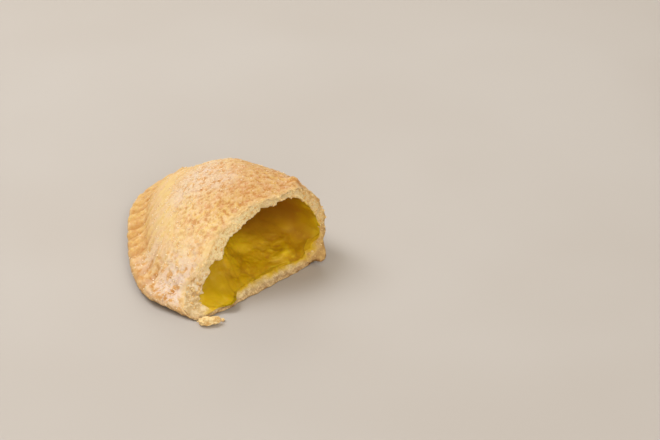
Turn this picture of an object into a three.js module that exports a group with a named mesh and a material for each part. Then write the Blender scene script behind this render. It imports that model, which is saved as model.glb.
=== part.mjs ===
// Half of a baked fruit empanada: a folded pastry case with a crimped edge, torn across the
// middle, and the fruit filling that shows in the torn end, with the air pocket above it.
// Millimetres, +Z up. The torn end faces -Y, the fold is at +X and the crimped edge sweeps
// from the torn end at -X round to the tip at +Y. The origin is the bottom centre.
import * as THREE from "three";
import { LoftGeometry } from "three/addons/geometries/LoftGeometry.js";

// Pastry case
const WIDTH = 66; // fold to crimped edge, at the torn end
const LENGTH = 78; // torn end to crimped edge, at the tip
const FOLD_LENGTH = 69; // torn end to the tip, along the fold
const FOLD_BULGE = 2.5; // how far the fold bows outwards
const FOLD_FLARE = 4; // how far the fold turns out into the tip
const SWEEP = THREE.MathUtils.degToRad(96); // angle that the crimped edge turns through
const HEIGHT = 33.6; // crest above the table
const TIP_HEIGHT = 6; // pastry left at the tip, where the fold meets the crimped edge
const DIP = 1.6; // how far the crest sinks at the torn end
const SWELL = 1.3; // how far the lid swells up behind the torn end, beside the fold
const FALL = 3; // how long the crest keeps its height towards the tip
const CREST = 0.33; // place of the crest, as a share of the span from the fold
const FOLD_CURVE = [1.72, 0.58]; // exponents of the dome's curve from crest to fold
const FOOT_CURVE = [1.8, 0.8]; // exponents of the dome's curve from crest to crimped edge
const BULGE_HEIGHT = 9.5; // height of the fold's widest point
const TUCK = 10; // how far the underside is drawn in below the fold
const UNDER_CURVE = 0.55; // exponent of the curve below the fold, flatter than a round one
const WALL = 3.6; // baked dough of the lid
const FOLD_WALL = 1.8; // how much thicker it is at the fold
const FLOOR = 3.4; // baked dough underneath

// Crimped edge
const RIM = 6.5; // width of the pressed band
const RIM_FOOT = 5.6; // height of the band where the dome starts
const EDGE_THICKNESS = 3.4;
const EDGE_NOSE = 1.8; // width of its rounding
const LIFT = 2.6; // how far the baked edge has curled up from the table
const LIFT_ANGLES = [0.28, 1.2]; // from the tear to where it has curled up quickly, and fully
const QUICK_LIFT = 0.6; // part of the lift that comes quickly
const CRIMP_PITCH = 6.2; // along the edge
const CRIMP_DEPTH = 1.4;
const CRIMP_REACH = 14; // from the edge up the dome
const SCALLOP = 0.9; // how far the edge draws in at a crimp

// Tear
const LEAN = 8.4; // how far the lid is torn back at the crimped edge
const FLOOR_LEAN = 2; // how far the floor is torn back at the crimped edge
const FLOOR_OUT = 1.6; // how far the floor's torn edge sticks out at its bottom, towards the fold
const SLANT = 2.4; // how far its top is torn back behind its bottom
const RAGGED = 0.7; // coarse raggedness of the torn edges
const FLAP = 4.4; // how far a flake of crust sticks out below the fold
const PEEL = 3.6; // how much further the outside is torn back above the crimped edge
const FLANK_PEEL = 1.6; // how much further it is torn back on the flank of the dome
const CREST_SKIN = 2.4; // how far it sticks out at the crest
const FOLD_PEEL = 1.6; // how much further it is torn back at the fold
const FLAKE = 1.8; // height of a flake that stands up from the lid just behind the tear
const FLAKE_SIZE = 2.2; // half its width
const FLAKE_AT = new THREE.Vector2(-15, 3.8); // its place in plan
const INSIDE_BACK = 0.4; // how far the torn edge's inside lies behind its outside
const STUB = 4.2; // how much less the inside is torn back beside the crimped edge
const LIP = 2; // how much less it is torn back on the flank
const DROOP = 1.6; // how far the lid's torn edge hangs down beside the crest
const SEAM_REACH = 2.5; // how far the seam has opened between lid and floor
const SEAM_HEIGHT = 0.9; // of the opened seam
const SEAM_DROP = 1.4; // how far the floor falls towards it
const CAVITY = 0.8; // part of the sweep that the cavity reaches through

// Filling
const FRONT_GAP = 0.8; // how far the filling keeps behind the torn edge
const TONGUE = 3; // how far it keeps back in the corner beside the crimped edge
const POCKET = 19; // depth of the air pocket behind the torn end
const LEDGE = 8.5; // depth at which the filling has risen to its ledge
const CHUNK = 0.9; // relief of the fruit
const SPILL = 2.6; // how far the filling runs over the floor's torn edge
const SAG = 2.2; // how far it hangs down there
const GAP = 0.35; // between filling and pastry
const WEDGE = 0.3; // least height of the cavity, where lid and floor meet
const FRONT_MIDDLE = { share: 0.5, rise: 0.24 }; // of the filling's surface in the torn end

// Facets
const DOME_STEPS = 22;
const RIM_STEPS = 3;
const NOSE_STEPS = 4;
const BASE_STEPS = 6;
const UNDER_STEPS = 5;
const CASE_ROWS = 100; // torn end to tip, about six to a crimp
const TORN_ROWS = 3; // across the thickness of the torn edge
const CAVITY_ROWS = 14;
const FILLING_ROWS = 10;
const FRONT_ROWS = 9;

const { lerp, smoothstep, clamp } = THREE.MathUtils;
const bump = (x, middle, halfWidth) => Math.exp(-(((x - middle) / halfWidth) ** 2));

// Plan. Sections run from a point on the fold to a point on the crimped edge, and fan out
// from the torn end, at angle 0, to the tip.
function foldPoint(angle) {
  const along = angle / SWEEP;
  const bow = FOLD_BULGE * Math.sin(Math.PI * along) + FOLD_FLARE * along ** 8;
  return new THREE.Vector2(bow, FOLD_LENGTH * along);
}

function edgePoint(angle) {
  const swing = 0.8 * Math.sin(7.3 * angle - 1.4);
  const near = 2.2 * bump(angle, 0.42, 0.35) + 1.4 * bump(angle, 0.3, 0.16);
  const far = 1.2 * bump(angle, 1.32, 0.25) - 0.5 * bump(angle, 1.15, 0.25);
  const radius = lerp(WIDTH, LENGTH, (Math.max(angle, 0) / SWEEP) ** 1.5) + swing + near + far;
  return new THREE.Vector2(-radius * Math.cos(angle), radius * Math.sin(angle));
}

function span(angle) {
  return foldPoint(angle).distanceTo(edgePoint(angle));
}

function crestHeight(angle) {
  const along = clamp(angle / SWEEP, 0, 1);
  return lerp(TIP_HEIGHT, HEIGHT, (1 - along ** FALL) ** 2) - DIP * bump(angle, 0, 0.16);
}

// The seam between lid and floor has opened near the tear: 1 there, 0 where it is closed.
function seamOpening(angle) {
  return 1 - smoothstep(angle, 0.1, 0.35);
}

// How far the crimped edge has curled up.
function liftAt(angle) {
  const [quick, full] = LIFT_ANGLES;
  return LIFT * lerp(smoothstep(angle, quick, full), smoothstep(angle, 0, quick), QUICK_LIFT);
}

// A point given by its distance from the fold along the section, and its height.
function place(angle, reach, height) {
  const plan = foldPoint(angle).lerp(edgePoint(angle), reach / span(angle));
  return new THREE.Vector3(plan.x, plan.y, height);
}

// Sections spread like a fan, so a depth behind y = 0 is another angle at each share of the span.
function angleAt(depth, share) {
  return depth / lerp(FOLD_LENGTH / SWEEP, WIDTH, share);
}

// The outside of the dome at a section, from the fold at t = -1 over the crest at t = 0 to the
// foot at t = 1, as a distance from the fold and a height, drawn in by inset along its normal.
function domePoint(angle, t, inset) {
  const width = span(angle);
  const crest = crestHeight(angle);
  const bulge = BULGE_HEIGHT * Math.min(1, crest / HEIGHT);
  const foot = Math.min(RIM_FOOT, 0.8 * crest);
  const at = (u) => {
    const side = u < 0 ? CREST * width : (1 - CREST) * width - Math.min(RIM, 0.4 * width);
    const [power, root] = u < 0 ? FOLD_CURVE : FOOT_CURVE;
    const height = lerp(u < 0 ? bulge : foot, crest, (1 - Math.abs(u) ** power) ** root);
    return new THREE.Vector2(CREST * width + u * side, height);
  };
  const along = at(Math.min(t + 0.01, 1)).sub(at(Math.max(t - 0.01, -1))).normalize();
  const thicker = inset ? FOLD_WALL * (crest / HEIGHT) ** 2 * smoothstep(-t, 0.15, 0.9) : 0;
  return at(t).add(new THREE.Vector2(along.y, -along.x).multiplyScalar(inset + thicker));
}

// One closed section: over the dome from the fold to its foot, down the pressed band, round
// the nose of the edge, back under the base, and up the underside of the fold. inset draws the
// section in, for the cavity and for the filling. share and rise are a point's place across
// the span and its part of the height.
function profile(angle, inset) {
  const width = span(angle);
  const crest = crestHeight(angle);
  const slim = clamp(crest / HEIGHT, 0.3, 1);
  const floor = inset ? FLOOR + inset - WALL : 0;
  const lift = inset ? 0 : liftAt(angle);
  const points = [];
  for (let i = 0; i <= DOME_STEPS; i++) {
    const t = -Math.cos((Math.PI * i) / DOME_STEPS);
    const point = domePoint(angle, t, inset);
    points.push({ reach: point.x, height: Math.max(point.y, floor + WEDGE), lid: 1 });
  }
  const foot = points[DOME_STEPS];
  const open = seamOpening(angle);
  const seam = lerp(foot.height - floor, SEAM_HEIGHT - 2 * (inset - WALL), open);
  const edge = inset ? seam : EDGE_THICKNESS * slim;
  const nose = inset ? edge / 2 : EDGE_NOSE * slim;
  const noseReach = inset ? foot.reach + SEAM_REACH * open : width - nose;
  const noseFloor = floor + (inset ? -SEAM_DROP * open : lift);
  for (let i = 1; i < RIM_STEPS; i++) {
    const t = i / RIM_STEPS;
    const height = lerp(noseFloor + edge, foot.height, (1 - t) ** 1.6);
    points.push({ reach: lerp(foot.reach, noseReach, t), height, lid: 1 });
  }
  for (let i = 0; i <= NOSE_STEPS; i++) {
    const turn = (Math.PI * i) / NOSE_STEPS;
    const height = noseFloor + (edge / 2) * (1 + Math.cos(turn));
    points.push({ reach: noseReach + nose * Math.sin(turn), height, lid: (1 + Math.cos(turn)) / 2 });
  }
  const tuck = TUCK * slim;
  for (let i = 1; i <= BASE_STEPS; i++) {
    const t = i / BASE_STEPS;
    const height = lerp(noseFloor, floor, smoothstep(t, 0, 0.2));
    points.push({ reach: lerp(noseReach, points[0].reach + tuck, t), height, lid: 0 });
  }
  for (let i = 1; i < UNDER_STEPS; i++) {
    const turn = (Math.PI / 2) * (i / UNDER_STEPS);
    const reach = points[0].reach + tuck * (1 - Math.sin(turn)) ** UNDER_CURVE;
    const height = lerp(floor, points[0].height, (1 - Math.cos(turn)) ** UNDER_CURVE);
    points.push({ reach, height, lid: 0 });
  }
  return points.map((p) => ({ ...p, share: p.reach / width, rise: p.height / crest }));
}

// Depth of the crimps at this angle, from 0 between two to 1 in the middle of a deep one. They
// are pressed by hand, so they differ in depth and spacing.
function crimp(angle) {
  const along = (angle * (WIDTH + LENGTH)) / 2 / CRIMP_PITCH + 0.25 * Math.sin(5 * angle);
  const strength = (0.72 + 0.28 * Math.sin(2.4 * Math.round(along) + 1)) * (1 - 0.6 * seamOpening(angle));
  return strength * (0.5 + 0.5 * Math.cos(2 * Math.PI * along)) ** 1.5;
}

// Slow unevenness of the risen lid, with a swelling beside the fold just behind the tear.
function lumps(x, y) {
  const long = 0.35 * Math.sin(0.17 * x + 0.9) * Math.sin(0.14 * y + 0.4);
  const short = 0.25 * Math.sin(0.3 * x - 0.22 * y);
  return long + short + SWELL * bump(x, -11, 13) * bump(y, 13, 12);
}

function flakeAt(x, y) {
  return FLAKE * bump(FLAKE_AT.distanceTo(new THREE.Vector2(x, y)), 0, FLAKE_SIZE);
}

const lidLean = (share) => LEAN * smoothstep(share, 0.12, 0.8);
const floorLean = (share) => FLOOR_LEAN * smoothstep(share, 0.78, 1);
const floorOut = (share) => FLOOR_OUT * (1 - smoothstep(share, 0.25, 0.9));

function floorSlant(share) {
  return SLANT * smoothstep(share, 0.27, 0.4) * (1 - smoothstep(share, 0.68, 0.78));
}

// How far behind the plane y = 0 the pastry is torn.
function tornBack({ share, rise, lid }, column) {
  const floor = floorLean(share) + floorSlant(share) * smoothstep(rise, 0, 0.1);
  const lean = lerp(floor, lidLean(share), lid);
  const ragged = RAGGED * (Math.sin(1.9 * column + 0.4) + 0.6 * Math.sin(4.3 * column + 1.1));
  const out = floorOut(share) * (1 - smoothstep(rise, 0, 0.14));
  const flap = FLAP * (1 - lid) * bump(share, 0.1, 0.06) * (1 - smoothstep(rise, 0.12, 0.2));
  return lean + ragged * smoothstep(rise, 0, 0.15) - out - flap;
}

// How much further the outside of the case is torn back, by its place round the tear.
function peel({ share, rise, lid }) {
  const flank = FLANK_PEEL * bump(share, 0.66, 0.11) - CREST_SKIN * bump(share, 0.36, 0.16);
  const fold = FOLD_PEEL * bump(share, 0, 0.07) * smoothstep(rise, 0.15, 0.3);
  return fold + lid * (flank + PEEL * bump(share, 0.9, 0.05));
}

// How much less the inside is torn back beside the crimped edge, and the lid's inner edge there.
const stubAt = (share) => STUB * smoothstep(share, 0.82, 0.92);
const lidEdge = (share) => lidLean(share) + INSIDE_BACK - stubAt(share);

// How far behind y = 0 the surface of the filling lies: flush at the floor's edge, up to a
// ledge, then back to the rear of the air pocket. It keeps forward in the narrow wedge beside
// the crimped edge and on the wall of the fold.
function fillingDepth(share, rise) {
  const climb = smoothstep(rise, 0.1, 0.3);
  const pocket = LEDGE * climb + (POCKET - LEDGE) * smoothstep(rise, 0.27, 0.46);
  const across = lerp(0.03, 1, smoothstep(share, 0.08, 0.2)) * (1 - 0.9 * smoothstep(share, 0.46, 0.66));
  const fruit = Math.sin(24 * share + 3 * rise + 1) * Math.sin(15 * rise + 5 * share + 0.5);
  const tongue = TONGUE * smoothstep(share, 0.8, 0.9);
  const floor = floorLean(share) + floorSlant(share) + tongue;
  const lean = lerp(floor, lidLean(share) + CHUNK * fruit, climb);
  return FRONT_GAP + lean + pocket * across - spill(share, rise);
}

// The filling runs out over the floor's torn edge beside the crimped edge.
function spill(share, rise) {
  return SPILL * bump(share, 0.8, 0.1) * (1 - smoothstep(rise, 0.1, 0.45));
}

function caseSection(row) {
  return profile(0, 0).map((torn, column) => {
    const angle = lerp(angleAt(tornBack(torn, column) + peel(torn), torn.share), SWEEP, row);
    const { reach, height } = profile(angle, 0)[column];
    const fromEdge = span(angle) - reach;
    const onTop = smoothstep(height - liftAt(angle), 0, 0.8 * EDGE_THICKNESS);
    const press = onTop * crimp(angle) * (1 - smoothstep(fromEdge, 3, CRIMP_REACH));
    const { x, y } = place(angle, reach, 0);
    const uneven = (lumps(x, y) + flakeAt(x, y)) * smoothstep(height, 10, 24);
    return place(angle, reach - press * SCALLOP, height - press * CRIMP_DEPTH + uneven);
  });
}

function cavitySection(row) {
  return profile(0, WALL).map((torn, column) => {
    const lip = torn.lid * (stubAt(torn.share) + LIP * bump(torn.share, 0.75, 0.055));
    const back = tornBack(torn, 1.7 * column + 9) + INSIDE_BACK - lip;
    const angle = lerp(angleAt(back, torn.share), CAVITY * SWEEP, row);
    const { reach, height } = profile(angle, WALL)[column];
    const { x, y } = place(angle, reach, 0);
    const droop = row ? 0 : DROOP * torn.lid * bump(torn.share, 0.44, 0.09);
    return place(angle, reach, height - droop + lumps(x, y) * smoothstep(height, 8, 22));
  });
}

// A ring of the filling: depth 1 is its outside, 0 the middle of its surface in the torn end.
// Beside the crimped edge and on the wall of the fold it meets the torn edge of the lid.
function fillingRing(row, depth) {
  const inset = WALL + GAP;
  return profile(0, inset).map((torn, column) => {
    const share = lerp(FRONT_MIDDLE.share, torn.share, depth);
    const rise = lerp(FRONT_MIDDLE.rise, torn.rise, depth);
    const inWedge = smoothstep(torn.share, 0.6, 0.8) * smoothstep(depth, 0.5, 1);
    const onFold = (1 - smoothstep(torn.share, 0.13, 0.23)) * smoothstep(depth, 0.82, 1);
    const meets = torn.lid * (inWedge + onFold);
    const behind = lerp(fillingDepth(share, rise), lidEdge(torn.share) + FRONT_GAP, meets);
    const angle = lerp(angleAt(behind, share), 0.99 * CAVITY * SWEEP, row);
    const outside = profile(angle, inset)[column];
    const reach = lerp(FRONT_MIDDLE.share * span(angle), outside.reach, depth);
    const ahead = floorLean(share) - floorOut(share) - fillingDepth(share, rise);
    const over = row ? 0 : (1 - torn.lid) * smoothstep(ahead, 0.8, 2.2);
    const sag = SAG * over * bump(depth, 0.88, 0.06);
    const height = lerp(FRONT_MIDDLE.rise * crestHeight(angle), outside.height, depth) - sag;
    const { x, y } = place(angle, reach, 0);
    return place(angle, reach, height + lumps(x, y) * smoothstep(height, 8, 22));
  });
}

function blend(sectionA, sectionB, t) {
  return sectionA.map((point, i) => point.clone().lerp(sectionB[i], t));
}

// A section drawn together to its middle, to close the end of a loft.
function pole(section) {
  const middle = new THREE.Vector3();
  section.forEach((point) => middle.addScaledVector(point, 1 / section.length));
  return section.map(() => middle.clone());
}

function caseGeometry() {
  const rows = [];
  for (let i = CASE_ROWS; i >= 0; i--) {
    rows.push(caseSection(i / CASE_ROWS));
  }
  const outside = rows[CASE_ROWS];
  const inside = cavitySection(0);
  for (let i = 1; i < TORN_ROWS; i++) {
    rows.push(blend(outside, inside, i / TORN_ROWS));
  }
  for (let i = 0; i <= CAVITY_ROWS; i++) {
    rows.push(cavitySection(i / CAVITY_ROWS));
  }
  return new LoftGeometry([pole(rows[0]), ...rows, pole(rows[rows.length - 1])]);
}

function fillingGeometry() {
  const rows = [];
  for (let i = FILLING_ROWS; i > 0; i--) {
    rows.push(fillingRing(i / FILLING_ROWS, 1));
  }
  for (let i = FRONT_ROWS; i >= 0; i--) {
    rows.push(fillingRing(0, i / FRONT_ROWS));
  }
  return new LoftGeometry([pole(rows[0]), ...rows]);
}

function addNode(group, name, geometry, colour, roughness) {
  const material = new THREE.MeshStandardMaterial({ color: colour, roughness, metalness: 0 });
  const mesh = new THREE.Mesh(geometry, material);
  mesh.name = name;
  group.add(mesh);
}

const empanada = new THREE.Group();
addNode(empanada, "crust", caseGeometry(), 0xeec58e, 0.85);
addNode(empanada, "filling", fillingGeometry(), 0xb89428, 0.3);

// Stand the part on its bottom centre.
const box = new THREE.Box3().setFromObject(empanada);
const middle = box.getCenter(new THREE.Vector3());
empanada.children.forEach((mesh) => mesh.geometry.translate(-middle.x, -middle.y, -box.min.z));

export default empanada;
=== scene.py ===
"""Looks of half a baked fruit empanada, torn across the middle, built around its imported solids."""
import math
from types import SimpleNamespace
from typing import NamedTuple

import bmesh
import bpy
import numpy as np
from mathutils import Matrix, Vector, noise


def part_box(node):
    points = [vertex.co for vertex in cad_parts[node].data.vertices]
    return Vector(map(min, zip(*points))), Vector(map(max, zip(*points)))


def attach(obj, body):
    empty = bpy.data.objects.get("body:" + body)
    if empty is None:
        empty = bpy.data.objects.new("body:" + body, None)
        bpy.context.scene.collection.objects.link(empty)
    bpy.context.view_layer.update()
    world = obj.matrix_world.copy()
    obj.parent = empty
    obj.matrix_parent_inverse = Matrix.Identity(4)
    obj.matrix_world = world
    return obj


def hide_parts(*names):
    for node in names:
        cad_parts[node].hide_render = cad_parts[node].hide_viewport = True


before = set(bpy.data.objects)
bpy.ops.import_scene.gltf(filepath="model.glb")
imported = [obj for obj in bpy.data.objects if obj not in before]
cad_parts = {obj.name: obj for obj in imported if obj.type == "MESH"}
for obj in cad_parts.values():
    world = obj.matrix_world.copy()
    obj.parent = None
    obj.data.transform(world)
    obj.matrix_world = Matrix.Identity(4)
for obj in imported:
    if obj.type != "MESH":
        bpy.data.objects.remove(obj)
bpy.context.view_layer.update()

MM = 0.001  # the shapes below are worked out in millimetres
SEED = 11

# Pastry case
WIDTH = 66  # fold to crimped edge, at the torn end
LENGTH = 78  # torn end to crimped edge, at the tip
FOLD_LENGTH = 69  # torn end to the tip, along the fold
FOLD_BULGE = 2.5  # how far the fold bows outwards
FOLD_FLARE = 4  # how far the fold turns out into the tip
SWEEP = math.radians(96)  # angle that the crimped edge turns through
HEIGHT = 33.6  # crest above the table
TIP_HEIGHT = 6  # of the pastry at the tip
TIP_CAP = 1.2  # how far the tip is rounded out
DIP = 1.6  # how far the crest sinks at the torn end
SWELL = 1.3  # how far the lid swells up behind the torn end
FALL = 3  # how long the crest keeps its height towards the tip
CREST = 0.33  # its place, as a share of the span from the fold
FOLD_CURVE = (1.72, 0.58)  # exponents of the dome's curve, crest to fold
FOOT_CURVE = (1.8, 0.8)  # and crest to crimped edge
BULGE_HEIGHT = 9.5  # height of the fold's widest point
TUCK = 10  # how far the underside is drawn in below the fold
UNDER_CURVE = 0.55  # exponent of the curve below the fold
WALL = 3.6  # baked dough of the lid
FOLD_WALL = 1.8  # how much thicker it is at the fold
FLOOR = 3.4  # baked dough underneath

# Crimped edge
RIM = 6.5  # width of the pressed band
RIM_FOOT = 5.6  # height of the band where the dome starts
EDGE_THICKNESS = 3.4
EDGE_NOSE = 1.8  # width of its rounding
LIFT = 2.6  # how far the baked edge has curled up from the table
LIFT_ANGLES = (0.28, 1.2)  # where it has curled up quickly, and fully
QUICK_LIFT = 0.6  # part of the lift that comes quickly
CRIMP_PITCH = 6.2  # along the edge
CRIMP_DEPTH = 1.4
CRIMP_REACH = 14  # from the edge up the dome
SCALLOP = 0.9  # how far the edge draws in at a crimp

# Tear
LEAN = 8.4  # how far the lid is torn back at the crimped edge
FLOOR_LEAN = 2  # and how far the floor is
FLOOR_OUT = 1.6  # how far the floor's torn edge sticks out at its bottom
SLANT = 2.4  # how far its top is torn back behind its bottom
RAGGED = 0.7  # coarse raggedness of the torn edges
FLAP = 4.4  # how far a flake of crust sticks out below the fold
PEEL = 3.6  # how much further the skin is torn back above the crimped edge
FLANK_PEEL = 1.6  # and on the flank of the dome
CREST_SKIN = 2.4  # how far it sticks out at the crest
FOLD_PEEL = 1.6  # how much further it is torn back at the fold
FLAKE = 1.8  # height of a flake that stands up behind the tear
FLAKE_SIZE = 2.2  # half its width
FLAKE_AT = (-15, 3.8)  # its place in plan
INSIDE_BACK = 0.4  # how far the torn edge's inside lies behind its outside
STUB = 4.2  # how much less the inside is torn back beside the crimped edge
LIP = 2  # how much less it is torn back on the flank
DROOP = 1.6  # how far the lid's torn edge hangs down beside the crest
SEAM_REACH = 2.5  # how far the seam has opened between lid and floor
SEAM_HEIGHT = 0.9  # of the opened seam
SEAM_DROP = 1.4  # how far the floor falls towards it
CAVITY = 0.8  # part of the sweep that the cavity reaches through

# Filling
FRONT_GAP = 0.8  # how far the filling keeps behind the torn edge
TONGUE = 3  # how far it keeps back in the corner beside the crimped edge
POCKET = 19  # depth of the air pocket behind the torn end
LEDGE = 8.5  # depth at which the filling has risen to its ledge
CHUNK = 0.9  # relief of the fruit
SPILL = 2.6  # how far the filling runs over the floor's torn edge
SAG = 2.2  # how far it hangs down there
WEDGE = 0.3  # least height of the cavity, where lid and floor meet
CLING = 0.25  # how far the jam soaks into the pastry that holds it
FRONT_MIDDLE = (0.5, 0.24)  # share and rise of the middle of its torn surface
INNERMOST = 0.01  # size of the last ring round that middle
FILLING_END = 0.99  # part of the cavity that it fills

# Columns at which a section's stretches end, the last one under the fold
DOME_END, BAND_END, NOSE_END, BASE_END, FOLD_END = 22, 25, 29, 35, 40

# Mesh steps
CASE_COLUMNS = 290
CASE_BASE_SHARE = 0.25  # how dense the case's columns are along the base
CASE_ROWS = 270
TORN_ROWS = 10
CAVITY_ROWS = 26
TIP_ROWS = 6
FILLING_COLUMNS = 230
FILLING_BASE_SHARE = 0.6
FRONT_ROWS = 90
SIDE_ROWS = 8
EDGE_FADE = 5  # rows over which the relief of the fruit starts
SOFT_STEPS = 12  # columns over which a corner is rounded
JAM_SMOOTHING = 12  # rounds
EVEN_ANGLE = 0.3  # of the section that the columns are even in
EVEN_SAMPLES = 4000

# Patches of sugar on the lid: plan place, size and strength
SUGAR_SPOTS = (
    ((-62, 18), 9, 1.0),
    ((-62, 9), 6, 0.6),
    ((-54, 36), 6, 0.5),
    ((-22, 38), 7, 0.8),
    ((-33, 36), 8, 0.65),
    ((-28, 24), 6, 0.6),
)
SUGAR_GRAINS = 900
SUGAR_SIZE = (0.25, 0.45)
SUGAR_STRETCH = (0.7, 1.2)
SUGAR_PROUD = 0.1  # how far a grain's middle stands out, as a share of its size
STRAY_SUGAR = 0.06  # how much lies between the patches

# Where the crimped edge is crumbly: plan place and size
CRUMBLY_AT = (-61, 17)
CRUMBLY_SIZE = 14

# Sharp point of the flake behind the tear: place, size and height
SPIKE_AT = (-15.4, 2.6, 32.4)
SPIKE_SIZE = 1.9
SPIKE = 1.2

# Crease between the floor's torn edge and the flap below the fold: place, size and depth
CREASE_AT = (-11.1, -2.7, 0.7)
CREASE_SIZE = (1.2, 2.4, 1.7)
CREASE = 2.2

# Larger pieces of fruit: place, size, how far out, and bright above 0 or dull below it. The first is partly
# a painted highlight; the last two stand out by 0 and are only painted light on the jam under the lid's
# edge.
FRUIT_PIECES_AND_LIT_SPOTS = (
    ((-19.8, 3.8, 6.4), 2.0, 1.3, 0.75),
    ((-47.1, 7.6, 8.8), 3.4, 0.9, -0.8),
    ((-24.1, 10.1, 8.3), 3.6, 0.8, 0.3),
    ((-11.7, 11.3, 10.9), 5.0, 0.2, 0.1),
    ((-40.0, 11.0, 14.0), 6.0, 0.0, 0.6),
    ((-29.5, 16.0, 11.0), 6.0, 0.0, 0.7),
)

# Where the ledge shows the fruit's fibres, with their way and form
FIBRES_AT = (-20, 6.5, 7)
FIBRES_SIZE = 8
FIBRE_WAY = (0.86, -0.51, 0.0)
FIBRE_LENGTH = 3.2
FIBRE_WIDTH = 1.1
FIBRE_RELIEF = 0.25

# Painted shade on the pocket's side beside the fold: place, size and strength
SHADED_AT = (-9.3, 5.8, 9.2)
SHADED_SIZE = 4.2
SHADED = 0.7

# Crumbs on the table: plan place, sizes, and the way that the length points
CRUMBS = (
    ((-63.8, -1.9), (7.4, 3.6, 2.8), -40),
    ((-59.4, -3.6), (1.6, 1.2, 1.0), 20),
)
CRUMB_ABOVE = 0.05  # keeps them clear of the table
TORN_CRUMBS = 160  # small ones that cling to the tear
TORN_CRUMB_SIZE = (0.5, 1.3)
TORN_CRUMB_STRETCH = (0.6, 1.2)
TORN_CRUMB_LEAST = 1.5  # least height at which they cling

# Colours of the skin from 0 to 255, in pairs where two are mixed
DOUGH = (231, 199, 131), (229, 193, 142)
DOUGH_MOTTLE = (221, 176, 106)
SPOT_YELLOW, SPOT_PINK = (240, 204, 118), (222, 168, 124)
# Crags: painted shade in their hollows, painted light on their tops
CRAG_HOLLOW_SHADE, CRAG_TOP_LIGHT = (196, 138, 74), (248, 224, 184)
GRAIN_DARK, GRAIN_PALE = (194, 138, 76), (248, 222, 186)
TOASTED = (192, 140, 78)
BAKED = (198, 146, 68), (216, 170, 98)
CRIMP_BROWN = (184, 124, 60)
SUGARED = (230, 210, 196)
SKIN_EDGE_PALE = (238, 210, 154)
BASE = (212, 174, 120), (162, 120, 74)

# Colours of the tear and the cavity
BROWNED = (226, 188, 126), (200, 152, 88)
PALE_CRUMB = (246, 226, 178), (224, 194, 138)
FLAKY = (246, 231, 204), (228, 197, 148)
# Painted shade for the crevices in the flaky crumb
FLAKY_CREVICE_SHADE = (184, 136, 76)
# The low flaky part near the table: a browner crumb, partly painted shade
LOW_CRUMB_AND_SHADE = (220, 196, 150), (190, 160, 112)
FOLD_CRUMB = (214, 176, 108), (186, 142, 76)
# Painted shade for the crevices low on the floor's torn edge and the crease beside it
GAP_SHADE = (140, 98, 56)
# The lid's underside over the pocket: browned by the jam, partly painted shade
CEILING_STAIN_AND_SHADE = (200, 148, 60), (158, 108, 36)
SOAKED = (222, 186, 30), (204, 160, 18)

# Colours of the filling
JAM = (202, 161, 10), (191, 144, 9)
JAM_FLECK = (212, 174, 18)
STRAND_PALE, STRAND_DARK = (216, 180, 44), (178, 124, 20)
# Painted shade in the creases between pieces of fruit
JAM_CREASE_SHADE = (158, 104, 18)
# The bright fruit colour is partly painted light and a painted highlight
FRUIT_BRIGHT_AND_LIT, FRUIT_DULL, FRUIT_LEMON = (240, 206, 36), (186, 136, 26), (196, 164, 6)
# Jam deep in the pocket and beside the fold: caramelised brown, partly painted shade
JAM_DEEP_BROWN_AND_SHADE = (160, 104, 18)
# Painted light on the jam along the fold wall
JAM_WALL_LIGHT = (206, 180, 24)

# Colours of loose pieces and the floor
CRYSTAL = (246, 228, 198), (232, 200, 154)
LOOSE_CRUMB = (242, 216, 160), (218, 174, 108)
STAGE_TONES = (187, 181, 176), (191, 186, 182)


class Lumps(NamedTuple):
    """Relief of smooth noise: how high, how far across, in how many octaves and how rough."""

    height: float
    size: float
    octaves: int = 1
    fall: float = 1.0  # low is rough
    shift: float = 0  # sets its pattern apart from the others

    def on(self, points):
        return self.height * noise_at(points + self.shift, self.size, self.octaves, self.fall)


class Pebbles(NamedTuple):
    """Relief of rounded grains: how high, how far across, and the share of it that lies below."""

    height: float
    size: float
    below: float
    shift: float = 0

    def pattern(self, points):
        return pebbles_at(points + self.shift, self.size)

    def on(self, points):
        return self.height * (self.pattern(points) - self.below)


# Fine relief of the crust
OUTER_TEETH = (Lumps(0.5, 3.1), Lumps(0.4, 1.3, shift=40))
INNER_TEETH = (Lumps(1.3, 4.3, shift=80), Lumps(0.8, 1.9, shift=120), Lumps(0.6, 1.0, shift=240))
HANGING_TEETH = (Lumps(0.7, 3.3, shift=160), Lumps(0.3, 1.3, shift=200))
LID_WAVES = Lumps(0.2, 7)
CRAGS = Lumps(1, 1.4, 3, 0.6)
CRAG_HEIGHT = 0.2
LID_GRAIN = Pebbles(0.14, 1.0, 0.55)
CRUMBLE = Lumps(0.45, 2.6, 3, 0.8, shift=60)
BAND_LUMPS = Lumps(0.4, 3.0, 3, 0.8, shift=130)
CRUMB_LUMPS = Lumps(0.25, 1.1, 2)
CRUMB_GRAIN = Pebbles(0.3, 1.8, 0.55, shift=9)
FLAKE_LUMPS = Lumps(0.5, 2.2, 3, 0.7, shift=70)
FOLD_LUMPS = Lumps(0.5, 2.6, 3, 0.8, shift=90)
FLOOR_GRAIN = Pebbles(0.5, 2.0, 0.45, shift=19)
CEILING_LUMPS = Lumps(0.35, 2.5, 2)
SKIN_EDGE_DROP = 0.5  # how far the skin falls off at the tear
SKIN_EDGE_WIDTH = 1.3
PALE_RAG = Lumps(0.8, 1.8, 2)
BROWNED_RAG = Lumps(0.25, 1.8, 3)
SOAKED_RAG = Lumps(0.25, 2.2, 2)

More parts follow.
